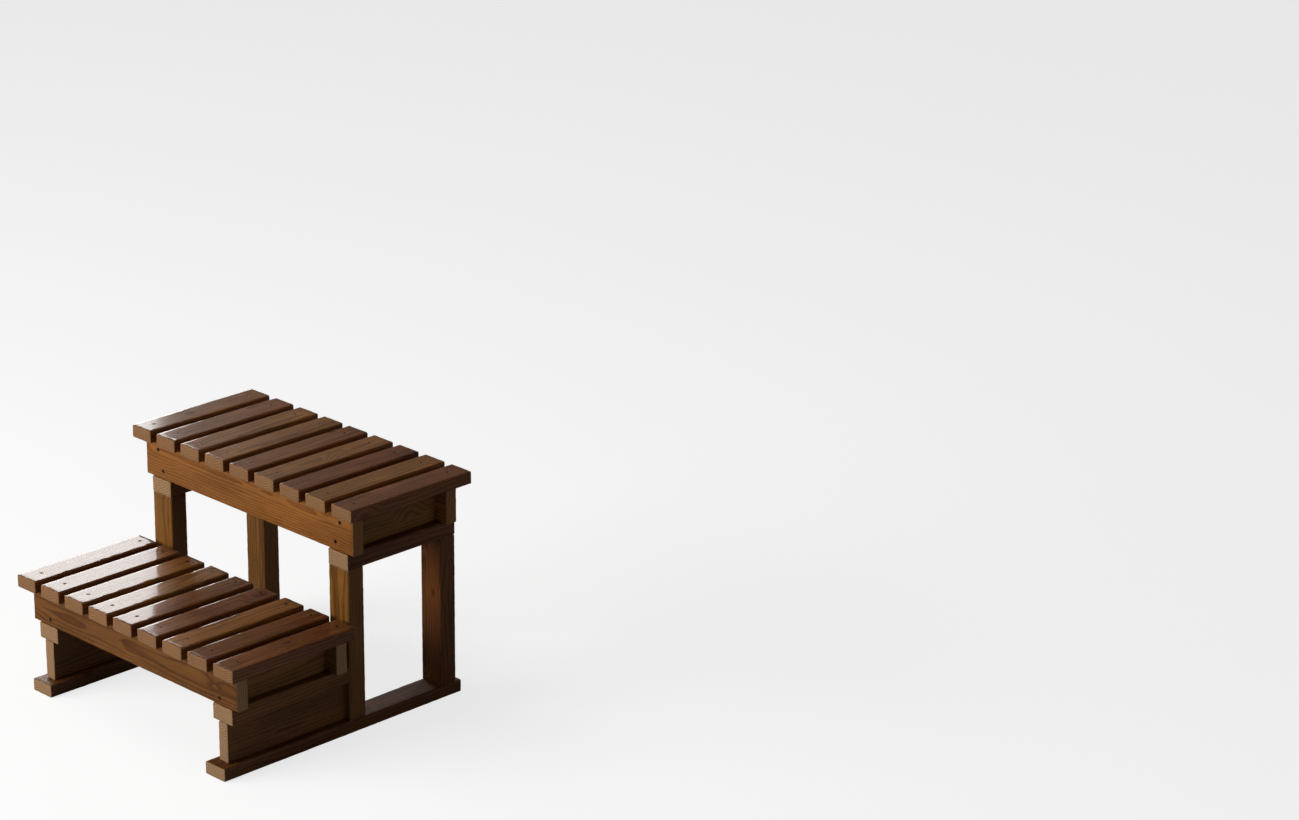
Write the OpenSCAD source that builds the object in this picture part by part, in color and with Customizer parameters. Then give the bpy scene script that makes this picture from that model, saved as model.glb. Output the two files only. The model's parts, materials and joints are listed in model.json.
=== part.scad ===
// Free-standing timber steps with two slatted treads, for getting in and out of a spa.
// The origin is on the floor under the middle of the steps. X runs across the treads,
// Y runs back towards the tub and Z is up. All sizes are in millimetres.

/* [Overall] */
// Width of the treads, over the outer faces of the end slats
tread_w = 750; // [680:10:900]
// Height of the lower tread's top face
lower_h = 270; // [245:5:300]
// Height of the upper tread's top face
upper_h = 540; // [480:5:600]
// Depth from the front of the lower tread to the back of the upper tread
steps_d = 685; // [675:5:740]

/* [Slats] */
// Number of slats in each tread
slat_count = 9; // [7:1:10]
// Width of one slat
slat_w = 65; // [55:1:68]
// Thickness of one slat
slat_t = 30; // [24:1:36]
// Length of the lower slats, front to back
lower_slat_l = 343; // [335:1:355]
// Length of the upper slats, front to back
upper_slat_l = 350; // [320:1:360]

/* [Cross rails] */
// Thickness of a cross rail
rail_t = 30; // [24:1:34]
// Height of the lower cross rails, which stand on their edges
lower_rail_h = 80; // [60:1:90]
// Height of the upper cross rails, which stand on their edges
upper_rail_h = 88; // [60:1:100]
// How far the end slats stand out past the rails' ends
side_overhang = 20; // [0:1:30]
// How far the lower slats stand out in front of their front rail
lower_nosing = 27; // [15:1:35]
// How far the upper slats stand out in front of their front rail
upper_nosing = 22; // [15:1:35]
// How far the lower slats stand out behind the lower back rail
lower_back_overhang = 9; // [2:1:15]
// How far the upper slats stand out behind the upper back rail
upper_back_overhang = 27; // [15:1:35]

/* [Side frames] */
// Width of the skids, legs and side rails
side_w = 65; // [58:1:75]
// Distance from the tread's side to the outer face of a side frame
side_inset = 38.5; // [32:0.5:55]
// Height of a skid
skid_h = 30; // [24:1:40]
// How far the skids start behind the front of the lower tread
skid_setback = 2; // [0:1:10]
// Height of a side rail, which lies flat under the cross rails
side_rail_h = 38; // [26:1:45]
// Thickness of a side board, which stands on the skid on its edge
side_board_t = 30; // [24:1:34]
// Thickness of an apron, which closes the side of a tread between its cross rails
apron_t = 30; // [26:1:34]
// Thickness of a leg, front to back
leg_t = 45; // [36:1:50]
// How far the back legs stand out behind the upper back rail
back_leg_step = 12; // [0:1:15]

/* [Finish] */
// Width of the bevel along the long edges of each board
ease = 2; // [1:0.5:3]

/* [Screws] */
// Shank diameter of the slat screws
slat_screw_d = 4.5; // [4:0.5:5]
// Length of the slat screws
slat_screw_l = 60; // [50:5:70]
// Shank diameter of the frame screws
frame_screw_d = 6; // [5:0.5:7]
// How far a frame screw bites into the last board that it holds
frame_bite = 40; // [30:1:50]

/* [Hidden] */
left = -1;
right = 1;
// heights at which the layers of each tread start
lower_rail_z = lower_h - slat_t - lower_rail_h;
upper_rail_z = upper_h - slat_t - upper_rail_h;
lower_side_rail_z = lower_rail_z - side_rail_h;
upper_side_rail_z = upper_rail_z - side_rail_h;
// places from front to back
front_y = -steps_d / 2;
back_y = steps_d / 2;
upper_slat_y = back_y - upper_slat_l;
lower_front_rail_y = front_y + lower_nosing;
lower_back_rail_y = front_y + lower_slat_l - lower_back_overhang - rail_t;
upper_front_rail_y = upper_slat_y + upper_nosing;
upper_back_rail_y = back_y - upper_back_overhang - rail_t;
front_leg_y = upper_front_rail_y;
back_leg_y = upper_back_rail_y + rail_t + back_leg_step - leg_t;
lower_side_l = front_leg_y - lower_front_rail_y;
upper_side_l = back_leg_y + leg_t - upper_front_rail_y;
// places from side to side
slat_pitch = (tread_w - slat_w) / (slat_count - 1);
rail_l = tread_w - 2 * side_overhang;
side_mid_x = tread_w / 2 - side_inset - side_w / 2;
// screws: the head against the shank, the six-sided recess against the head
head_ratio = 2;
head_slope = 0.5;
recess_ratio = 0.5;
recess_sides = 6;
screw_clearance = 0.1;
sink = 0.5;
// places of a pair of screws, as shares of the pitch between them
pair = [-0.5, 0.5];
leg_screw_pitch = 36;
side_rail_screw_pitch = 80;
side_end_screw_pitch = 40;
apron_screw_pitch = 48;
// how far a pair that stands one above the other is stepped sideways, past the upright screws
stagger = 16;
// places of the screws along a side board, as shares of its length
side_board_places = [0.15, 0.5, 0.85];
// how far a cut runs past the face that it opens
overlap = 1;
// lengths of the frame screws
lower_rail_screw_l = lower_rail_h + side_rail_h + frame_bite;
upper_rail_screw_l = upper_rail_h + side_rail_h + frame_bite;
side_rail_screw_l = side_rail_h + frame_bite;
skid_screw_l = skid_h + frame_bite;
side_end_screw_l = leg_t + frame_bite;
apron_screw_l = rail_t + frame_bite;
$fn = 32;

// a rectangle with its four corners bevelled
module eased_section(w, h) {
    polygon([
        [ease, 0], [w - ease, 0], [w, ease], [w, h - ease],
        [w - ease, h], [ease, h], [0, h - ease], [0, ease]
    ]);
}

// boards with their length along X, Y or Z, centred on X and standing on Z = 0
module board_x(length, depth, height) {
    translate([-length / 2, 0, 0])
        rotate([90, 0, 90])
            linear_extrude(length) eased_section(depth, height);
}

module board_y(width, length, height) {
    translate([-width / 2, length, 0])
        rotate([90, 0, 0])
            linear_extrude(length) eased_section(width, height);
}

module board_z(width, depth, height) {
    translate([-width / 2, 0, 0])
        linear_extrude(height) eased_section(width, depth);
}

// a countersunk screw that points down, with the top of its head on Z = 0
module screw(d, length) {
    head_d = d * head_ratio;
    head_h = (head_d - d) * head_slope;
    color("silver")
        difference() {
            union() {
                translate([0, 0, -head_h]) cylinder(h = head_h, d1 = d, d2 = head_d);
                translate([0, 0, d - length]) cylinder(h = length - d - head_h, d = d);
                translate([0, 0, -length]) cylinder(h = d, d1 = 0, d2 = d);
            }
            translate([0, 0, -head_h])
                cylinder(h = head_h + overlap, d = head_d * recess_ratio, $fn = recess_sides);
        }
}

// the hole that such a screw fills, open above its head
module screw_hole(d, length) {
    head_d = d * head_ratio;
    head_h = (head_d - d) * head_slope;
    cylinder(h = sink + overlap, d = head_d);
    translate([0, 0, -head_h]) cylinder(h = head_h, d1 = d, d2 = head_d);
    translate([0, 0, -length - overlap])
        cylinder(h = length + overlap - head_h / 2, d = d + 2 * screw_clearance);
}

// places of one part, or of its hole, at the screws of each group
function slat_x(i) = (i - 1) * slat_pitch - (tread_w - slat_w) / 2;

module at_slat_screw(i, rail_y, top) {
    translate([slat_x(i), rail_y + rail_t / 2, top - sink]) children();
}

module at_tread_screws(front_rail_y, back_rail_y, top) {
    for (i = [1:slat_count])
        for (rail_y = [front_rail_y, back_rail_y])
            at_slat_screw(i, rail_y, top) children();
}

module at_lower_rail_screws() {
    for (side = [left, right])
        for (rail_y = [lower_front_rail_y, lower_back_rail_y])
            translate([side * side_mid_x, rail_y + rail_t / 2, lower_h - slat_t - sink])
                children();
}

module at_upper_rail_screws() {
    for (side = [left, right], offset = pair)
        for (rail_y = [upper_front_rail_y, upper_back_rail_y])
            translate([
                side * side_mid_x + offset * leg_screw_pitch,
                rail_y + rail_t / 2,
                upper_h - slat_t - sink
            ])
                children();
}

module at_side_rail_screws() {
    middle_y = (lower_front_rail_y + rail_t + lower_back_rail_y) / 2;
    for (side = [left, right], offset = pair)
        translate([
            side * side_mid_x,
            middle_y + offset * side_rail_screw_pitch,
            lower_rail_z - sink
        ])
            children();
}

// these point up through the skids
module at_side_board_screws() {
    for (side = [left, right], place = side_board_places)
        translate([side * side_mid_x, lower_front_rail_y + place * lower_side_l, sink])
            rotate([180, 0, 0]) children();
}

module at_leg_screws() {
    for (side = [left, right], offset = pair)
        for (leg_y = [front_leg_y, back_leg_y])
            translate([side * side_mid_x + offset * leg_screw_pitch, leg_y + leg_t / 2, sink])
                rotate([180, 0, 0]) children();
}

// these point forwards through the front legs, into the ends of the side boards
module at_side_end_screws() {
    board_mid_z = (skid_h + lower_side_rail_z) / 2;
    for (side = [left, right], offset = pair)
        translate([
            side * (side_mid_x + offset * stagger),
            front_leg_y + leg_t - sink,
            board_mid_z + offset * side_end_screw_pitch
        ])
            rotate([-90, 0, 0]) children();
}

// these pass through a tread's cross rails, into the ends of its aprons
module at_apron_screws(front_rail_y, back_rail_y, middle_z) {
    for (side = [left, right], offset = pair) {
        x = side * (side_mid_x + offset * stagger);
        z = middle_z + offset * apron_screw_pitch;
        translate([x, front_rail_y + sink, z]) rotate([90, 0, 0]) children();
        translate([x, back_rail_y + rail_t - sink, z]) rotate([-90, 0, 0]) children();
    }
}

module at_lower_apron_screws() {
    at_apron_screws(lower_front_rail_y, lower_back_rail_y, lower_rail_z + lower_rail_h / 2)
        children();
}

module at_upper_apron_screws() {
    at_apron_screws(upper_front_rail_y, upper_back_rail_y, upper_rail_z + upper_rail_h / 2)
        children();
}

// slats
module lower_slat(i) {
    color("sienna")
        difference() {
            translate([slat_x(i), front_y, lower_h - slat_t])
                board_y(slat_w, lower_slat_l, slat_t);
            for (rail_y = [lower_front_rail_y, lower_back_rail_y])
                at_slat_screw(i, rail_y, lower_h) screw_hole(slat_screw_d, slat_screw_l);
        }
}

module upper_slat(i) {
    color("sienna")
        difference() {
            translate([slat_x(i), upper_slat_y, upper_h - slat_t])
                board_y(slat_w, upper_slat_l, slat_t);
            for (rail_y = [upper_front_rail_y, upper_back_rail_y])
                at_slat_screw(i, rail_y, upper_h) screw_hole(slat_screw_d, slat_screw_l);
        }
}

// cross rails
module lower_rail(rail_y) {
    color("peru")
        difference() {
            translate([0, rail_y, lower_rail_z]) board_x(rail_l, rail_t, lower_rail_h);
            for (i = [1:slat_count])
                at_slat_screw(i, rail_y, lower_h) screw_hole(slat_screw_d, slat_screw_l);
            at_lower_rail_screws() screw_hole(frame_screw_d, lower_rail_screw_l);
            at_lower_apron_screws() screw_hole(slat_screw_d, apron_screw_l);
        }
}

module upper_rail(rail_y) {
    color("peru")
        difference() {
            translate([0, rail_y, upper_rail_z]) board_x(rail_l, rail_t, upper_rail_h);
            for (i = [1:slat_count])
                at_slat_screw(i, rail_y, upper_h) screw_hole(slat_screw_d, slat_screw_l);
            at_upper_rail_screws() screw_hole(frame_screw_d, upper_rail_screw_l);
            at_upper_apron_screws() screw_hole(slat_screw_d, apron_screw_l);
        }
}

// aprons
module lower_apron(side) {
    apron_y = lower_front_rail_y + rail_t;
    color("saddlebrown")
        difference() {
            translate([side * side_mid_x, apron_y, lower_rail_z])
                board_y(apron_t, lower_back_rail_y - apron_y, lower_rail_h);
            at_lower_apron_screws() screw_hole(slat_screw_d, apron_screw_l);
        }
}

module upper_apron(side) {
    apron_y = upper_front_rail_y + rail_t;
    color("saddlebrown")
        difference() {
            translate([side * side_mid_x, apron_y, upper_rail_z])
                board_y(apron_t, upper_back_rail_y - apron_y, upper_rail_h);
            at_upper_apron_screws() screw_hole(slat_screw_d, apron_screw_l);
        }
}

// side frames
module skid(side) {
    color("saddlebrown")
        difference() {
            translate([side * side_mid_x, front_y + skid_setback, 0])
                board_y(side_w, steps_d - skid_setback, skid_h);
            at_side_board_screws() screw_hole(frame_screw_d, skid_screw_l);
            at_leg_screws() screw_hole(frame_screw_d, skid_screw_l);
        }
}

module side_board(side) {
    color("saddlebrown")
        difference() {
            translate([side * side_mid_x, lower_front_rail_y, skid_h])
                board_y(side_board_t, lower_side_l, lower_side_rail_z - skid_h);
            at_lower_rail_screws() screw_hole(frame_screw_d, lower_rail_screw_l);
            at_side_rail_screws() screw_hole(frame_screw_d, side_rail_screw_l);
            at_side_board_screws() screw_hole(frame_screw_d, skid_screw_l);
            at_side_end_screws() screw_hole(frame_screw_d, side_end_screw_l);
        }
}

module lower_side_rail(side) {
    color("peru")
        difference() {
            translate([side * side_mid_x, lower_front_rail_y, lower_side_rail_z])
                board_y(side_w, lower_side_l, side_rail_h);
            at_lower_rail_screws() screw_hole(frame_screw_d, lower_rail_screw_l);
            at_side_rail_screws() screw_hole(frame_screw_d, side_rail_screw_l);
        }
}

module upper_side_rail(side) {
    color("peru")
        difference() {
            translate([side * side_mid_x, upper_front_rail_y, upper_side_rail_z])
                board_y(side_w, upper_side_l, side_rail_h);
            at_upper_rail_screws() screw_hole(frame_screw_d, upper_rail_screw_l);
        }
}

module leg(side, leg_y) {
    color("saddlebrown")
        difference() {
            translate([side * side_mid_x, leg_y, skid_h])
                board_z(side_w, leg_t, upper_side_rail_z - skid_h);
            at_upper_rail_screws() screw_hole(frame_screw_d, upper_rail_screw_l);
            at_leg_screws() screw_hole(frame_screw_d, skid_screw_l);
            at_side_end_screws() screw_hole(frame_screw_d, side_end_screw_l);
        }
}

// screws, one node for each group
module lower_slat_screws() {
    at_tread_screws(lower_front_rail_y, lower_back_rail_y, lower_h)
        screw(slat_screw_d, slat_screw_l);
}

module upper_slat_screws() {
    at_tread_screws(upper_front_rail_y, upper_back_rail_y, upper_h)
        screw(slat_screw_d, slat_screw_l);
}

module apron_screws() {
    at_lower_apron_screws() screw(slat_screw_d, apron_screw_l);
    at_upper_apron_screws() screw(slat_screw_d, apron_screw_l);
}

for (i = [1:slat_count]) {
    lower_slat(i);
    upper_slat(i);
}
lower_rail(lower_front_rail_y);  // lower_front_rail
lower_rail(lower_back_rail_y);  // lower_back_rail
upper_rail(upper_front_rail_y);  // upper_front_rail
upper_rail(upper_back_rail_y);  // upper_back_rail
lower_apron(left);  // left_lower_apron
upper_apron(left);  // left_upper_apron
lower_apron(right);  // right_lower_apron
upper_apron(right);  // right_upper_apron
skid(left);  // left_skid
side_board(left);  // left_side_board
lower_side_rail(left);  // left_lower_side_rail
upper_side_rail(left);  // left_upper_side_rail
leg(left, front_leg_y);  // left_front_leg
leg(left, back_leg_y);  // left_back_leg
skid(right);  // right_skid
side_board(right);  // right_side_board
lower_side_rail(right);  // right_lower_side_rail
upper_side_rail(right);  // right_upper_side_rail
leg(right, front_leg_y);  // right_front_leg
leg(right, back_leg_y);  // right_back_leg
lower_slat_screws();
upper_slat_screws();
at_lower_rail_screws() screw(frame_screw_d, lower_rail_screw_l);  // lower_rail_screws
at_upper_rail_screws() screw(frame_screw_d, upper_rail_screw_l);  // upper_rail_screws
at_side_rail_screws() screw(frame_screw_d, side_rail_screw_l);  // side_rail_screws
at_side_board_screws() screw(frame_screw_d, skid_screw_l);  // side_board_screws
at_leg_screws() screw(frame_screw_d, skid_screw_l);  // leg_screws
at_side_end_screws() screw(frame_screw_d, side_end_screw_l);  // side_end_screws
apron_screws();
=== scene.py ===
import bmesh
import bpy
import json
import math
import random
from mathutils import Matrix, Vector

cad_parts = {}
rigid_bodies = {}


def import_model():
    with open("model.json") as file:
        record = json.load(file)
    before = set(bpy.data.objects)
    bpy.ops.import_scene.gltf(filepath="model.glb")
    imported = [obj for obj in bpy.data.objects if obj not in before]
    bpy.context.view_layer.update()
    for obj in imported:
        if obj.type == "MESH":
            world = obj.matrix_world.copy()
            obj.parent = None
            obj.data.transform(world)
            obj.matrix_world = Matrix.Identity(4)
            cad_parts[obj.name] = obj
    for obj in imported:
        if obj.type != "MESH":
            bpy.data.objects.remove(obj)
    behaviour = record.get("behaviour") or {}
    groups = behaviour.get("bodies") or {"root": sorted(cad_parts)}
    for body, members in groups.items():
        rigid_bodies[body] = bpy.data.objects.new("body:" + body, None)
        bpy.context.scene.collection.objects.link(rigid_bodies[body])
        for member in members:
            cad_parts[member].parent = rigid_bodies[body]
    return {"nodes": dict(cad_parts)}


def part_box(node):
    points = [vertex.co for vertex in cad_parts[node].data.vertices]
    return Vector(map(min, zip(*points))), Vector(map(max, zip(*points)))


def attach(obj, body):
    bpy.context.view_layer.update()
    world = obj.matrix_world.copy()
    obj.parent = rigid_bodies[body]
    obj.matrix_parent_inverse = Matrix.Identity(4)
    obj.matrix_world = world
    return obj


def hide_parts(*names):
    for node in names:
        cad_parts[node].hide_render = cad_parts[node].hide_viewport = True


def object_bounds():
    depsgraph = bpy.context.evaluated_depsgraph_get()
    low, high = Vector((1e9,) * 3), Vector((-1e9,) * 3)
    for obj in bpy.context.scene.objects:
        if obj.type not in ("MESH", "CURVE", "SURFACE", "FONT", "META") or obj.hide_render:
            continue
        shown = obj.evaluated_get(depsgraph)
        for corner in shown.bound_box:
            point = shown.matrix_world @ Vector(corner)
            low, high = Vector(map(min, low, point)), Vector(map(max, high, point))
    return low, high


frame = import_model()
cadLow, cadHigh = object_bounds()
print("frame loaded:", len(frame["nodes"]), "nodes")


def deselectAll():
    if bpy.context.object and bpy.context.object.mode != "OBJECT":
        bpy.ops.object.mode_set(mode="OBJECT")
    bpy.ops.object.select_all(action="DESELECT")


def makeActive(piece):
    deselectAll()
    piece.select_set(True)
    bpy.context.view_layer.objects.active = piece


def applyModifier(piece, kind, **settings):
    makeActive(piece)
    modifier = piece.modifiers.new(kind.title(), kind)
    for name, value in settings.items():
        setattr(modifier, name, value)
    bpy.ops.object.modifier_apply(modifier=modifier.name)


# camera, where a person stands a few steps back from the tub's corner
cameraSetup = {
    "place": (6.1005, -4.9363, 3.4994),
    "turn": 44.46,      # degrees round Z, from looking along +Y
    "lookDown": 19.88,
    "lean": 0.59,
    "lens": 105.13,     # mm
    "sensor": 36,
}


def makeCamera():
    camera = bpy.data.objects.new("camera", bpy.data.cameras.new("camera"))
    bpy.context.scene.collection.objects.link(camera)
    camera.data.lens = cameraSetup["lens"]
    camera.data.sensor_width = cameraSetup["sensor"]
    aim = Matrix.Rotation(math.radians(cameraSetup["turn"]), 4, "Z")
    aim @= Matrix.Rotation(math.radians(90 - cameraSetup["lookDown"]), 4, "X")
    aim @= Matrix.Rotation(math.radians(cameraSetup["lean"]), 4, "Z")
    camera.matrix_world = Matrix.Translation(cameraSetup["place"]) @ aim
    bpy.context.scene.camera = camera


makeCamera()
print("camera placed")


# shader helpers: a socket as a value makes a link, anything else is set on the socket
def addNode(tree, kind, inputs=None, **settings):
    node = tree.nodes.new(kind)
    for name, value in settings.items():
        setattr(node, name, value)
    for socket, value in (inputs or {}).items():
        if isinstance(value, bpy.types.NodeSocket):
            tree.links.new(value, node.inputs[socket])
        else:
            node.inputs[socket].default_value = value
    return node


def calculate(tree, operation, first, second=0.0, third=0.0, clamp=False):
    inputs = {0: first, 1: second, 2: third}
    return addNode(tree, "ShaderNodeMath", inputs, operation=operation, use_clamp=clamp).outputs[0]


def mapRange(tree, value, low, high, toLow=0.0, toHigh=1.0):
    inputs = {"Value": value, "From Min": low, "From Max": high, "To Min": toLow, "To Max": toHigh}
    kind = "ShaderNodeMapRange"
    return addNode(tree, kind, inputs, interpolation_type="SMOOTHSTEP").outputs["Result"]


def stretchedNoise(tree, vector, stretch, detail, roughness):
    stretched = addNode(tree, "ShaderNodeVectorMath", {0: vector, 1: stretch}, operation="MULTIPLY")
    inputs = {"Vector": stretched.outputs[0], "Scale": 1.0, "Detail": detail, "Roughness": roughness}
    return addNode(tree, "ShaderNodeTexNoise", inputs)


def mixColour(tree, factor, first, second, blend="MIX"):
    node = addNode(tree, "ShaderNodeMix", data_type="RGBA", blend_type=blend)
    for socket, value in ((0, factor), (6, first), (7, second)):
        if isinstance(value, bpy.types.NodeSocket):
            tree.links.new(value, node.inputs[socket])
        else:
            node.inputs[socket].default_value = value
    return node.outputs[2]


def addBump(tree, shader, height, strength, depth):
    bump = {"Height": height, "Strength": strength, "Distance": depth}
    tree.links.new(addNode(tree, "ShaderNodeBump", bump).outputs["Normal"], shader.inputs["Normal"])


# knots: scattered points inside the timber, few of which are chosen
knotLook = {
    "spread": (8.0, 15.0, 15.0),    # how close they lie along, across and through a board
    "rarity": 0.76,                 # share of the points that stay plain timber
    "core": (0.08, 0.14),           # where the dark knot starts and stops fading
    "swirl": (0.06, 0.5),           # and the bend in the rings round it
}


def findKnots(tree, space):
    stretched = {0: space, 1: knotLook["spread"]}
    stretched = addNode(tree, "ShaderNodeVectorMath", stretched, operation="MULTIPLY").outputs[0]
    cells = addNode(tree, "ShaderNodeTexVoronoi", {"Vector": stretched, "Scale": 1.0})
    chance = addNode(tree, "ShaderNodeSeparateXYZ", {0: cells.outputs["Color"]}).outputs[0]
    chosen = calculate(tree, "GREATER_THAN", chance, knotLook["rarity"])
    knot = mapRange(tree, cells.outputs["Distance"], *knotLook["core"], 1.0, 0.0)
    swirl = mapRange(tree, cells.outputs["Distance"], *knotLook["swirl"], 1.0, 0.0)
    return calculate(tree, "MULTIPLY", knot, chosen), calculate(tree, "MULTIPLY", swirl, chosen)


def newGroup(name, inputs, outputs):
    group = bpy.data.node_groups.new(name, "ShaderNodeTree")
    for socketName, kind in inputs:
        group.interface.new_socket(socketName, in_out="INPUT", socket_type=kind)
    for socketName, kind in outputs:
        group.interface.new_socket(socketName, in_out="OUTPUT", socket_type=kind)
    return group, addNode(group, "NodeGroupInput"), addNode(group, "NodeGroupOutput")


# timber patterns: how tight each is along, across and through a board, then its detail and roughness
grainPatterns = {
    "bend": ((2.6, 11.0, 11.0), 2.0, 0.5),
    "drift": ((5.0, 55.0, 55.0), 3.0, 0.5),
    "fibre": ((14.0, 620.0, 620.0), 3.0, 0.65),
    "pores": ((38.0, 1500.0, 1500.0), 1.0, 0.5),
    "patches": ((4.5, 16.0, 16.0), 3.0, 0.6),
}
grainLook = {
    "bendWidth": 0.022, "driftWidth": 1.1, "swirlWidth": 2.4,    # metres, then rings
    "ringRise": (0.35, 0.9), "ringFall": (0.93, 1.0),            # shares of one ring
    "poreEdge": (0.56, 0.7), "patchEdge": (0.25, 0.75),
    "patchShade": (0.78, 1.2), "toneShade": (0.8, 1.2), "toneHue": (0.492, 0.508),
    "ringDark": 0.62, "fibreDark": 1.1, "poreDark": 0.25, "knotDark": 0.75, "paleness": 0.42,
    "ringHeight": 0.5, "fibreHeight": 0.7, "poreHeight": -0.6,
}


def makeGrainGroup():
    # solid timber: growth rings round a pith line that runs beside the board, and fibres along it
    inputs = [
        ("Board Space", "NodeSocketVector"),
        ("Tone", "NodeSocketFloat"),
        ("Ring Width", "NodeSocketFloat"),
        ("Early Wood", "NodeSocketColor"),
        ("Late Wood", "NodeSocketColor"),
    ]
    outputs = [
        ("Colour", "NodeSocketColor"),
        ("Rings", "NodeSocketFloat"),
        ("Fibre", "NodeSocketFloat"),
        ("Height", "NodeSocketFloat"),
    ]
    group, into, out = newGroup("woodGrain", inputs, outputs)
    space = into.outputs["Board Space"]
    wander = stretchedNoise(group, space, *grainPatterns["bend"]).outputs["Color"]
    wander = addNode(group, "ShaderNodeVectorMath", {0: wander, 1: (0.5,) * 3}, operation="SUBTRACT")
    sway = {0: wander.outputs[0], 1: (0.0, grainLook["bendWidth"], grainLook["bendWidth"]), 2: space}
    bent = addNode(group, "ShaderNodeVectorMath", sway, operation="MULTIPLY_ADD").outputs[0]
    across = {0: bent, 1: (0.0, 1.0, 1.0)}
    across = addNode(group, "ShaderNodeVectorMath", across, operation="MULTIPLY").outputs[0]
    radius = addNode(group, "ShaderNodeVectorMath", {0: across}, operation="LENGTH").outputs["Value"]
    drift = stretchedNoise(group, space, *grainPatterns["drift"]).outputs["Fac"]
    count = calculate(group, "DIVIDE", radius, into.outputs["Ring Width"])
    count = calculate(group, "MULTIPLY_ADD", drift, grainLook["driftWidth"], count)
    knot, swirl = findKnots(group, space)
    count = calculate(group, "MULTIPLY_ADD", swirl, grainLook["swirlWidth"], count)
    phase = calculate(group, "FRACT", count)
    rise = mapRange(group, phase, *grainLook["ringRise"])
    fall = mapRange(group, phase, *grainLook["ringFall"], 1.0, 0.0)
    rings = calculate(group, "MULTIPLY", rise, fall)
    fibre = stretchedNoise(group, space, *grainPatterns["fibre"]).outputs["Fac"]
    pores = stretchedNoise(group, space, *grainPatterns["pores"]).outputs["Fac"]
    pores = mapRange(group, pores, *grainLook["poreEdge"])
    patches = stretchedNoise(group, space, *grainPatterns["patches"]).outputs["Fac"]

    darkness = calculate(group, "MULTIPLY", rings, grainLook["ringDark"])
    darkness = calculate(group, "MULTIPLY_ADD", fibre, grainLook["fibreDark"], darkness)
    darkness = calculate(group, "MULTIPLY_ADD", pores, grainLook["poreDark"], darkness)
    darkness = calculate(group, "MULTIPLY_ADD", knot, grainLook["knotDark"], darkness)
    darkness = calculate(group, "SUBTRACT", darkness, grainLook["paleness"], clamp=True)
    colour = mixColour(group, darkness, into.outputs["Early Wood"], into.outputs["Late Wood"])
    patchShade = mapRange(group, patches, *grainLook["patchEdge"], *grainLook["patchShade"])
    toneShade = mapRange(group, into.outputs["Tone"], 0.0, 1.0, *grainLook["toneShade"])
    value = calculate(group, "MULTIPLY", patchShade, toneShade)
    hue = mapRange(group, into.outputs["Tone"], 0.0, 1.0, *grainLook["toneHue"])
    shift = {"Hue": hue, "Saturation": 1.0, "Value": value, "Color": colour}
    shifted = addNode(group, "ShaderNodeHueSaturation", shift).outputs["Color"]
    height = calculate(group, "MULTIPLY", fibre, grainLook["fibreHeight"])
    height = calculate(group, "MULTIPLY_ADD", rings, grainLook["ringHeight"], height)
    height = calculate(group, "MULTIPLY_ADD", pores, grainLook["poreHeight"], height)
    for name, socket in (("Colour", shifted), ("Rings", rings), ("Fibre", fibre), ("Height", height)):
        group.links.new(socket, out.inputs[name])
    return group


# wear, and a painted highlight along the edges, by distance in metres from a board's ends and edges
wearAndHighlightLook = {
    "ragged": ((60.0, 260.0, 260.0), 3.0, 0.5), "raggedWidth": 0.006, "soakWidth": 0.02,
    "ends": (0.0004, 0.0013), "edges": (0.0022, 0.0058), "soak": (0.004, 0.03),
}


def makeWearAndHighlightGroup():
    # Face Distance holds how far a point is from the board's ends, sides and broad faces
    inputs = [("Face Distance", "NodeSocketVector"), ("Board Space", "NodeSocketVector")]
    outputs = [("Ends", "NodeSocketFloat"), ("Edges", "NodeSocketFloat"), ("Near Ends", "NodeSocketFloat")]
    group, into, out = newGroup("edgeWearAndHighlight", inputs, outputs)
    split = addNode(group, "ShaderNodeSeparateXYZ", {0: into.outputs["Face Distance"]})
    toEnd, toSide, toFace = split.outputs
    least = calculate(group, "MINIMUM", toEnd, toSide)
    most = calculate(group, "MAXIMUM", toEnd, toSide)
    second = calculate(group, "MAXIMUM", least, calculate(group, "MINIMUM", most, toFace))
    ragged = stretchedNoise(group, into.outputs["Board Space"], *wearAndHighlightLook["ragged"]).outputs["Fac"]
    second = calculate(group, "MULTIPLY_ADD", ragged, wearAndHighlightLook["raggedWidth"], second)
    soak = calculate(group, "MULTIPLY_ADD", ragged, wearAndHighlightLook["soakWidth"], toEnd)
    ends = mapRange(group, toEnd, *wearAndHighlightLook["ends"], 1.0, 0.0)
    edges = mapRange(group, second, *wearAndHighlightLook["edges"], 1.0, 0.0)
    nearEnds = mapRange(group, soak, *wearAndHighlightLook["soak"], 1.0, 0.0)
    for name, socket in (("Ends", ends), ("Edges", edges), ("Near Ends", nearEnds)):
        group.links.new(socket, out.inputs[name])
    return group


grainGroup = makeGrainGroup()
wearAndHighlightGroup = makeWearAndHighlightGroup()
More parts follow.
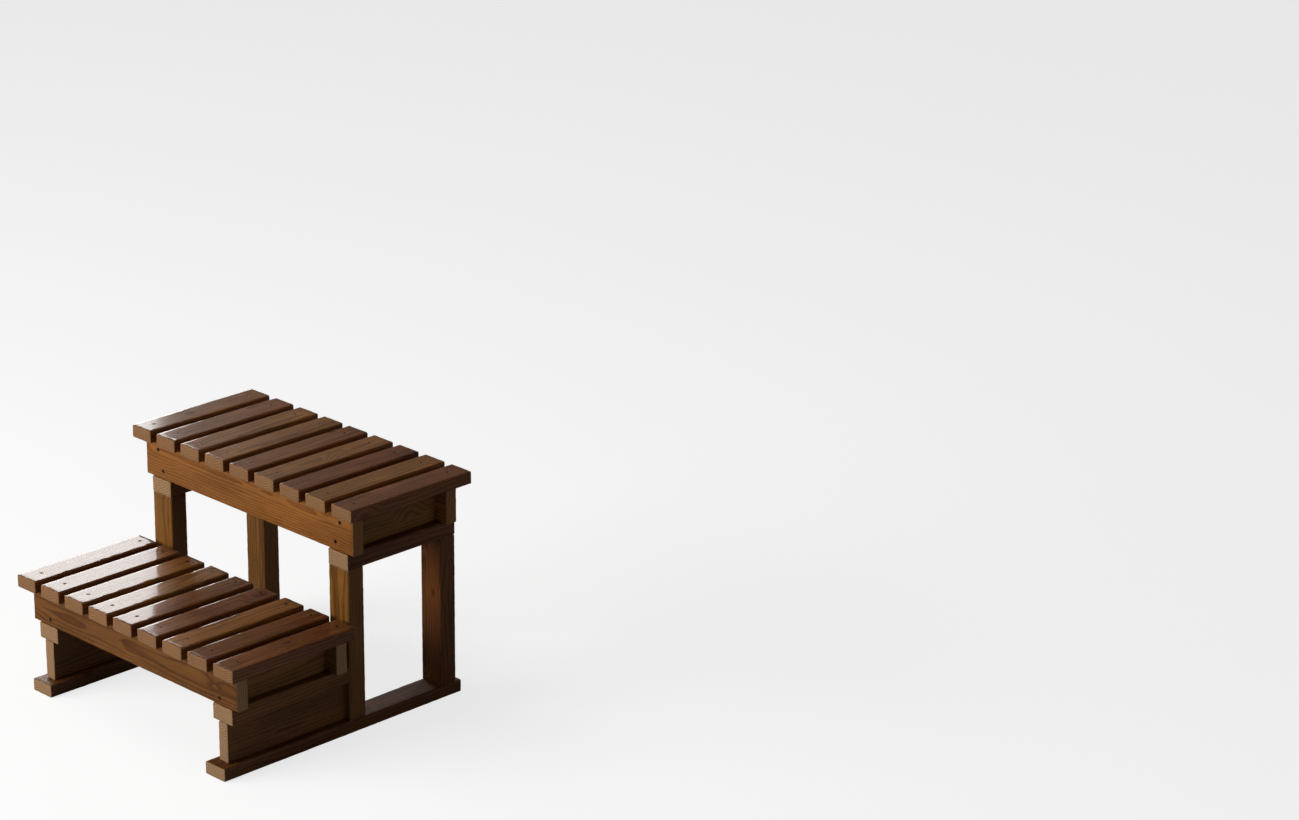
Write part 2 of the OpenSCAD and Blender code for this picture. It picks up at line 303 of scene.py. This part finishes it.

# stained timber finishes, one for each kind of board; the darker frame finish also goes on the lower
# rails, where it is painted shade
# the worn colour along the edges paints wear and a highlight on every edge
woodFinishes = {
    "slatWood": {
        "earlyWood": (0.255, 0.095, 0.021, 1), "lateWood": (0.088, 0.025, 0.005, 1),
        "endWood": (0.37, 0.2, 0.09, 1), "wornAndHighlightWood": (0.4, 0.22, 0.1, 1),
        "ringWidth": 0.0052, "roughness": 0.4, "endShare": 0.7, "wearAndHighlightShare": 0.25,
        "shine": 0.1, "varnish": 0.68, "varnishGloss": 0.12,
    },
    "railWood": {
        "earlyWood": (0.32, 0.124, 0.026, 1), "lateWood": (0.145, 0.046, 0.01, 1),
        "endWood": (0.32, 0.17, 0.075, 1), "wornAndHighlightWood": (0.44, 0.24, 0.105, 1),
        "ringWidth": 0.0066, "roughness": 0.45, "endShare": 0.5, "wearAndHighlightShare": 0.2,
        "shine": 0.25, "varnish": 0.2, "varnishGloss": 0.3,
    },
    "frameAndShadedRailWood": {
        "earlyWood": (0.195, 0.075, 0.017, 1), "lateWood": (0.072, 0.023, 0.0055, 1),
        "endWood": (0.46, 0.285, 0.15, 1), "wornAndHighlightWood": (0.38, 0.21, 0.095, 1),
        "ringWidth": 0.0058, "roughness": 0.45, "endShare": 0.8, "wearAndHighlightShare": 0.2,
        "shine": 0.25, "varnish": 0.15, "varnishGloss": 0.35,
    },
}


# what the grain and the wear do to every finish
surfaceLook = {
    "endRings": -0.45, "endFibre": 0.3, "soakShare": 0.25,
    "fibreRoughness": 0.22, "wornRoughness": 0.1, "endRoughness": 0.25,
    "bump": 0.55, "bumpDepth": 0.0005,
}


def makeWood(name, finish):
    material = bpy.data.materials.new(name)
    material.use_nodes = True
    tree = material.node_tree
    shader = tree.nodes["Principled BSDF"]
    shader.inputs["Specular IOR Level"].default_value = finish["shine"]
    shader.inputs["Coat Weight"].default_value = finish["varnish"]
    shader.inputs["Coat Roughness"].default_value = finish["varnishGloss"]
    space = addNode(tree, "ShaderNodeAttribute", attribute_name="boardSpace").outputs["Vector"]
    tone = addNode(tree, "ShaderNodeAttribute", attribute_name="boardTone").outputs["Fac"]
    distance = addNode(tree, "ShaderNodeAttribute", attribute_name="faceDistance").outputs["Vector"]
    grain = addNode(tree, "ShaderNodeGroup", node_tree=grainGroup)
    for socket, value in (("Board Space", space), ("Tone", tone)):
        tree.links.new(value, grain.inputs[socket])
    grain.inputs["Ring Width"].default_value = finish["ringWidth"]
    grain.inputs["Early Wood"].default_value = finish["earlyWood"]
    grain.inputs["Late Wood"].default_value = finish["lateWood"]
    wearAndHighlightMasks = addNode(tree, "ShaderNodeGroup", node_tree=wearAndHighlightGroup)
    tree.links.new(distance, wearAndHighlightMasks.inputs["Face Distance"])
    tree.links.new(space, wearAndHighlightMasks.inputs["Board Space"])

    # sawn ends drink the stain unevenly, and the edges are paler, partly as rubbed wear and partly as a
    # painted highlight
    endRings = calculate(tree, "MULTIPLY_ADD", grain.outputs["Rings"], surfaceLook["endRings"], 1.0)
    endRings = calculate(tree, "MULTIPLY_ADD", grain.outputs["Fibre"], surfaceLook["endFibre"], endRings)
    endTint = mixColour(tree, 1.0, finish["endWood"], endRings, "MULTIPLY")
    endShare = calculate(tree, "MULTIPLY", wearAndHighlightMasks.outputs["Ends"], finish["endShare"])
    colour = mixColour(tree, endShare, grain.outputs["Colour"], endTint)
    wearAndHighlightShare = calculate(tree, "MULTIPLY", wearAndHighlightMasks.outputs["Edges"], finish["wearAndHighlightShare"])
    colour = mixColour(tree, wearAndHighlightShare, colour, finish["wornAndHighlightWood"])
    soak = calculate(tree, "MULTIPLY", wearAndHighlightMasks.outputs["Near Ends"], surfaceLook["soakShare"])
    colour = mixColour(tree, soak, colour, finish["lateWood"])
    tree.links.new(colour, shader.inputs["Base Color"])

    roughness = finish["roughness"]
    for mask, share in (
        (grain.outputs["Fibre"], surfaceLook["fibreRoughness"]),
        (wearAndHighlightMasks.outputs["Edges"], surfaceLook["wornRoughness"]),
        (wearAndHighlightMasks.outputs["Ends"], surfaceLook["endRoughness"]),
    ):
        roughness = calculate(tree, "MULTIPLY_ADD", mask, share, roughness)
    tree.links.new(roughness, shader.inputs["Roughness"])
    addBump(tree, shader, grain.outputs["Height"], surfaceLook["bump"], surfaceLook["bumpDepth"])
    return material


woods = {name: makeWood(name, finish) for name, finish in woodFinishes.items()}

# steel screws with a dull bronze coating and a little grime
screwFinish = {
    "steel": (0.2, 0.13, 0.075, 1), "grime": (0.07, 0.045, 0.028, 1),
    "polished": 0.42, "dull": 0.65, "speckle": 420.0, "speckleDetail": 4.0,
    "grimeEdge": (0.48, 0.68), "bump": 0.3, "bumpDepth": 0.0002,
}


def makeScrewSteel():
    material = bpy.data.materials.new("screwSteel")
    material.use_nodes = True
    tree = material.node_tree
    shader = tree.nodes["Principled BSDF"]
    shader.inputs["Metallic"].default_value = 1.0
    place = addNode(tree, "ShaderNodeTexCoord").outputs["Object"]
    spots = {"Vector": place, "Scale": screwFinish["speckle"], "Detail": screwFinish["speckleDetail"]}
    spots = addNode(tree, "ShaderNodeTexNoise", spots).outputs["Fac"]
    grime = mapRange(tree, spots, *screwFinish["grimeEdge"])
    colour = mixColour(tree, grime, screwFinish["steel"], screwFinish["grime"])
    tree.links.new(colour, shader.inputs["Base Color"])
    dullness = mapRange(tree, grime, 0.0, 1.0, screwFinish["polished"], screwFinish["dull"])
    tree.links.new(dullness, shader.inputs["Roughness"])
    addBump(tree, shader, spots, screwFinish["bump"], screwFinish["bumpDepth"])
    return material


screwSteel = makeScrewSteel()
print("materials made")

# the way every board is shaped, in metres
boardShape = {
    "easeRadius": 0.0032,    # rounding along the long edges
    "easeSegments": 3,
    "endEase": 0.0012,       # smaller rounding round the sawn ends
    "endEaseSegments": 2,
    "endReach": 0.001,       # share of the length that counts as an end
    "cutSpacing": 0.026,     # distance between the cuts along a board
    "crossSpacing": 0.017,   # and across it
    "cutLevels": 2,          # how often each cut piece is halved again
    "unevenness": 0.0003,    # slow waves left by the planer and by weather
    "waveSize": 0.12,
    "waveMiddle": 0.6,       # above a half, the waves take away more than they add
    "dentDepth": 0.0011,     # knocks along the edges
    "dentSize": 0.012,
    "dentMiddle": 0.9,
    "smoothAngle": 32,       # degrees
}


def selectEdges(board, wanted):
    mesh = bmesh.from_edit_mesh(board.data)
    bpy.ops.mesh.select_all(action="DESELECT")
    for edge in mesh.edges:
        if wanted(edge):
            edge.select = True
    mesh.select_flush_mode()
    bmesh.update_edit_mesh(board.data)


def cutAcross(low, high, axis, spacing):
    count = max(1, round((high[axis] - low[axis]) / spacing))
    normal = [0, 0, 0]
    normal[axis] = 1
    for step in range(1, count):
        place = (low + high) / 2
        place[axis] = low[axis] + (high[axis] - low[axis]) * step / count
        bpy.ops.mesh.select_all(action="SELECT")
        bpy.ops.mesh.bisect(plane_co=place, plane_no=normal)


def shapeBoard(name, low, high):
    size = high - low
    long = max(range(3), key=lambda axis: size[axis])
    deselectAll()
    bpy.ops.mesh.primitive_cube_add(size=1, location=(low + high) / 2)
    board = bpy.context.object
    board.name = board.data.name = name
    board.scale = size
    bpy.ops.object.transform_apply(location=True, rotation=True, scale=True)

    bpy.ops.object.mode_set(mode="EDIT")
    bpy.ops.mesh.select_mode(type="EDGE")
    selectEdges(board, lambda edge: abs(edge.verts[0].co[long] - edge.verts[1].co[long]) > size[long] / 2)
    bpy.ops.mesh.bevel(
        offset=boardShape["easeRadius"], segments=boardShape["easeSegments"], affect="EDGES"
    )
    tiny = size[long] * boardShape["endReach"]

    def onEnd(edge):
        places = [vertex.co[long] for vertex in edge.verts]
        return max(places) < low[long] + tiny or min(places) > high[long] - tiny

    selectEdges(board, onEnd)
    bpy.ops.mesh.bevel(
        offset=boardShape["endEase"], segments=boardShape["endEaseSegments"], affect="EDGES"
    )
    for axis in range(3):
        spacing = boardShape["cutSpacing"] if axis == long else boardShape["crossSpacing"]
        cutAcross(low, high, axis, spacing)
    bpy.ops.object.mode_set(mode="OBJECT")
    levels = boardShape["cutLevels"]
    applyModifier(board, "SUBSURF", subdivision_type="SIMPLE", levels=levels, render_levels=levels)
    return board


def faceDistances(place, low, high, order):
    return [min(place[axis] - low[axis], high[axis] - place[axis]) for axis in order]


def boardOrder(low, high):
    # the axes of a board from its longest side to its thinnest
    size = high - low
    return sorted(range(3), key=lambda axis: -size[axis])


waves = bpy.data.textures.new("boardWaves", "CLOUDS")
waves.noise_scale = boardShape["waveSize"]
dents = bpy.data.textures.new("edgeDents", "CLOUDS")
dents.noise_scale = boardShape["dentSize"]


def weatherBoard(board, low, high):
    order = boardOrder(low, high)
    edges = board.vertex_groups.new(name="edges")
    for vertex in board.data.vertices:
        second = sorted(faceDistances(vertex.co, low, high, order))[1]
        if second < boardShape["easeRadius"]:
            edges.add([vertex.index], 1.0, "REPLACE")
    applyModifier(
        board, "DISPLACE", texture=waves, strength=boardShape["unevenness"],
        mid_level=boardShape["waveMiddle"],
    )
    applyModifier(
        board, "DISPLACE", texture=dents, strength=boardShape["dentDepth"],
        mid_level=boardShape["dentMiddle"], vertex_group="edges",
    )
    board.vertex_groups.clear()


screwNodes = [node for node in frame["nodes"] if node.endswith("_screws")]
screwSeat = {
    "spare": 0.00015,    # room round the head
    "rise": 0.0012,      # how far the cutter stands above the head
    "sides": 32,
    "reach": 0.002,      # furthest that a head lies from its board's face
    "sliver": 2e-7,      # corners this close are merged once the seats are cut
    "rimSlack": 0.0001,
    "mergeDistance": 0.00001,
}


def findHead(screw):
    # the end of a screw with the wider rim: its middle, its direction and its radius
    corners = [vertex.co for vertex in screw.data.vertices]
    low = Vector([min(corner[i] for corner in corners) for i in range(3)])
    high = Vector([max(corner[i] for corner in corners) for i in range(3)])
    size = high - low
    axis = max(range(3), key=lambda i: size[i])
    across = (axis + 1) % 3
    rim = [corner for corner in corners if abs(corner[across] - low[across]) < screwSeat["rimSlack"]]
    side = 1 if rim[0][axis] > (low[axis] + high[axis]) / 2 else -1
    place = (low + high) / 2
    place[axis] = high[axis] if side > 0 else low[axis]
    return place, axis, side, size[across] / 2


def findScrewHeads(node):
    # a merged copy falls apart into one piece for each screw
    copy = frame["nodes"][node].copy()
    copy.data = copy.data.copy()
    copy.parent = None
    bpy.context.scene.collection.objects.link(copy)
    makeActive(copy)
    bpy.ops.object.mode_set(mode="EDIT")
    bpy.ops.mesh.select_all(action="SELECT")
    bpy.ops.mesh.remove_doubles(threshold=screwSeat["mergeDistance"])
    bpy.ops.mesh.separate(type="LOOSE")
    bpy.ops.object.mode_set(mode="OBJECT")
    heads = []
    for screw in list(bpy.context.selected_objects):
        heads.append(findHead(screw))
        bpy.data.objects.remove(screw)
    return heads


# the turn that points a cone's wide end out of the board, for each axis and side that screws use
screwTurns = {
    (2, 1): (0, 0, 0), (2, -1): (math.pi, 0, 0),
    (1, 1): (-math.pi / 2, 0, 0), (1, -1): (math.pi / 2, 0, 0),
}
screwHeads = [head for node in screwNodes for head in findScrewHeads(node)]
print("screw heads found:", len(screwHeads))


def clearSlivers(board):
    # a cut can leave faces of no width beside its rim, which are gone once their corners are merged
    makeActive(board)
    bpy.ops.object.mode_set(mode="EDIT")
    bpy.ops.mesh.select_all(action="SELECT")
    bpy.ops.mesh.remove_doubles(threshold=screwSeat["sliver"])
    bpy.ops.object.mode_set(mode="OBJECT")


def seatScrews(board, low, high):
    # a countersink for each head that sits in this board
    cutters = []
    for place, axis, side, radius in screwHeads:
        face = high[axis] if side > 0 else low[axis]
        inside = all(low[i] < place[i] < high[i] for i in range(3) if i != axis)
        if not inside or abs(face - place[axis]) > screwSeat["reach"]:
            continue
        depth = radius + screwSeat["rise"]
        turn = screwTurns[axis, side]
        middle = place.copy()
        middle[axis] += side * (screwSeat["rise"] - depth / 2)
        deselectAll()
        bpy.ops.mesh.primitive_cone_add(
            vertices=screwSeat["sides"], radius1=screwSeat["spare"],
            radius2=radius + screwSeat["rise"] + screwSeat["spare"],
            depth=depth, location=middle, rotation=turn,
        )
        cutters.append(bpy.context.object)
    for cutter in cutters:
        applyModifier(board, "BOOLEAN", object=cutter, operation="DIFFERENCE", solver="EXACT")
        bpy.data.objects.remove(cutter)
    if cutters:
        clearSlivers(board)


# how far off a board's middle its tree's pith may lie, and where in the pattern the board may start
boardGrowth = {"pith": (0.02, 0.06), "along": (0, 40), "across": (-0.03, 0.03), "seedStep": 100}


def markBoard(board, low, high, dice):
    # gives the grain its own axes in each board: along it, across it and through it
    order = boardOrder(low, high)
    middle = (low + high) / 2
    pith = dice.uniform(*boardGrowth["pith"]) * dice.choice([-1, 1])
    offset = (dice.uniform(*boardGrowth["along"]), dice.uniform(*boardGrowth["across"]), pith)
    space, distance = [], []
    for vertex in board.data.vertices:
        for axis, shift in zip(order, offset):
            space.append(vertex.co[axis] - middle[axis] + shift)
        distance += faceDistances(vertex.co, low, high, order)
    tone = [dice.random()] * len(board.data.vertices)
    for name, kind, key, values in (
        ("boardSpace", "FLOAT_VECTOR", "vector", space),
        ("faceDistance", "FLOAT_VECTOR", "vector", distance),
        ("boardTone", "FLOAT", "value", tone),
    ):
        board.data.attributes.new(name, kind, "POINT").data.foreach_set(key, values)


def finishBoard(board, node, wood, dice):
    low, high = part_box(node)
    weatherBoard(board, low, high)
    seatScrews(board, low, high)
    markBoard(board, low, high, dice)
    makeActive(board)
    bpy.ops.object.shade_smooth_by_angle(angle=math.radians(boardShape["smoothAngle"]))
    board.data.materials.clear()
    board.data.materials.append(woods[wood])
    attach(board, "root")
    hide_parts(node)


def camelName(node):
    first, *rest = node.split("_")
    return first + "".join(word.title() for word in rest)


def makeBoards(nodes, wood, seed):
    # the first board is modelled, the others are copies of it with their own wear
    low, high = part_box(nodes[0])
    pattern = shapeBoard("pattern", low, high)
    for number, node in enumerate(nodes):
        dice = random.Random(seed + number)
        board = pattern.copy()
        board.data = pattern.data.copy()
        board.name = board.data.name = camelName(node)
        bpy.context.scene.collection.objects.link(board)
        board.data.transform(Matrix.Translation(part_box(node)[0] - low))
        finishBoard(board, node, wood, dice)
    bpy.data.objects.remove(pattern)
    print("boards made:", nodes[0], "and", len(nodes) - 1, "like it")


boardSets = [
    {"nodes": [f"lower_slat_{i}" for i in range(1, 10)], "wood": "slatWood", "slot": "slat_wood"},
    {"nodes": [f"upper_slat_{i}" for i in range(1, 10)], "wood": "slatWood", "slot": "slat_wood"},
    # the lower rails get the darker frame finish as painted shade, for the shade under the lower tread's
    # nosing
    {"nodes": ["lower_front_rail", "lower_back_rail"], "wood": "frameAndShadedRailWood", "slot": "rail_wood"},
    {"nodes": ["upper_front_rail", "upper_back_rail"], "wood": "railWood", "slot": "rail_wood"},
    {"nodes": ["left_skid", "right_skid"], "wood": "frameAndShadedRailWood", "slot": "frame_wood"},
    {"nodes": ["left_side_board", "right_side_board"], "wood": "frameAndShadedRailWood", "slot": "frame_wood"},
    {"nodes": ["left_lower_side_rail", "right_lower_side_rail"], "wood": "frameAndShadedRailWood",
     "slot": "frame_wood"},
    {"nodes": ["left_upper_side_rail", "right_upper_side_rail"], "wood": "frameAndShadedRailWood",
     "slot": "frame_wood"},
    {"nodes": ["left_lower_apron", "right_lower_apron"], "wood": "frameAndShadedRailWood", "slot": "frame_wood"},
    {"nodes": ["left_upper_apron", "right_upper_apron"], "wood": "frameAndShadedRailWood", "slot": "frame_wood"},
    {"nodes": ["left_front_leg", "left_back_leg", "right_front_leg", "right_back_leg"],
     "wood": "frameAndShadedRailWood", "slot": "frame_wood"},
]
for number, boards in enumerate(boardSets):
    seed = boardGrowth["seedStep"] * (number + 1)
    makeBoards(boards["nodes"], boards["wood"], seed)

for node in screwNodes:
    screws = frame["nodes"][node]
    screws.data.materials.clear()
    screws.data.materials.append(screwSteel)

# the floor glows a little for the camera alone, so that it stays pale far from the lights
floorLook = {
    "size": 80.0, "colour": (0.42, 0.42, 0.415, 1), "mottle": (0.4, 0.4, 0.4, 1),
    "mottleScale": 0.8, "mottleDetail": 3.0, "roughness": 0.9, "glow": 0.76,
}


def makeFloor():
    deselectAll()
    bpy.ops.mesh.primitive_plane_add(size=floorLook["size"], location=(0, 0, cadLow.z))
    floor = bpy.context.object
    floor.name = "studioFloor"
    material = bpy.data.materials.new("studioFloor")
    material.use_nodes = True
    tree = material.node_tree
    shader = tree.nodes["Principled BSDF"]
    place = addNode(tree, "ShaderNodeTexCoord").outputs["Object"]
    cloud = {"Vector": place, "Scale": floorLook["mottleScale"], "Detail": floorLook["mottleDetail"]}
    cloud = addNode(tree, "ShaderNodeTexNoise", cloud).outputs["Fac"]
    colour = mixColour(tree, cloud, floorLook["colour"], floorLook["mottle"])
    tree.links.new(colour, shader.inputs["Base Color"])
    shader.inputs["Roughness"].default_value = floorLook["roughness"]
    shader.inputs["Emission Color"].default_value = (1, 1, 1, 1)
    seen = addNode(tree, "ShaderNodeLightPath").outputs["Is Camera Ray"]
    glow = calculate(tree, "MULTIPLY", seen, floorLook["glow"])
    tree.links.new(glow, shader.inputs["Emission Strength"])
    floor.data.materials.append(material)


makeFloor()

# a broad front light, weak ones above, behind and on the right, and a tall panel at the back left,
# which the slats mirror
studioLights = {
    "frontLight": {"place": (-2.9, -5.3, 2.2), "aim": (0, 0, 0.25), "size": (6.0, 3.0),
                   "watts": 420, "mirrored": False},
    "topLight": {"place": (-0.8, -0.6, 4.0), "aim": (0, 0, 0.2), "size": (3.5, 3.5), "watts": 25},
    "backFill": {"place": (-0.8, 4.4, 1.7), "aim": (0, 0, 0.3), "size": (3.4, 2.4),
                 "watts": 55, "onlySteps": True},
    "rightFill": {"place": (4.4, 0.6, 1.2), "aim": (0, 0, 0.3), "size": (2.5, 2.0),
                  "watts": 12, "onlySteps": True},
    "mirrorPanel": {"place": (-2.91, 1.07, 1.2), "aim": (-0.2, -1.02, 1.2), "size": (1.5, 1.7),
                    "watts": 46, "onlySteps": True},
}
stepsOnly = bpy.data.collections.new("stepsOnly")
for piece in bpy.data.objects:
    if piece.type == "MESH" and piece.name != "studioFloor":
        stepsOnly.objects.link(piece)


def makeLight(name, setup):
    light = bpy.data.lights.new(name, "AREA")
    light.shape = "RECTANGLE"
    light.size, light.size_y = setup["size"]
    light.energy = setup["watts"]
    lamp = bpy.data.objects.new(name, light)
    bpy.context.scene.collection.objects.link(lamp)
    lamp.location = setup["place"]
    lamp.rotation_euler = (Vector(setup["aim"]) - lamp.location).to_track_quat("-Z", "Y").to_euler()
    lamp.visible_camera = False
    lamp.visible_glossy = setup.get("mirrored", True)
    if setup.get("onlySteps"):
        lamp.light_linking.receiver_collection = stepsOnly


for name, setup in studioLights.items():
    makeLight(name, setup)

worldLook = {"Color": (1.0, 0.98, 0.95, 1), "Strength": 0.05}
world = bpy.data.worlds.new("studioWorld")
world.use_nodes = True
for socket, value in worldLook.items():
    world.node_tree.nodes["Background"].inputs[socket].default_value = value
bpy.context.scene.world = world
bpy.context.scene.view_settings.view_transform = "Standard"
print("floor and lights placed")
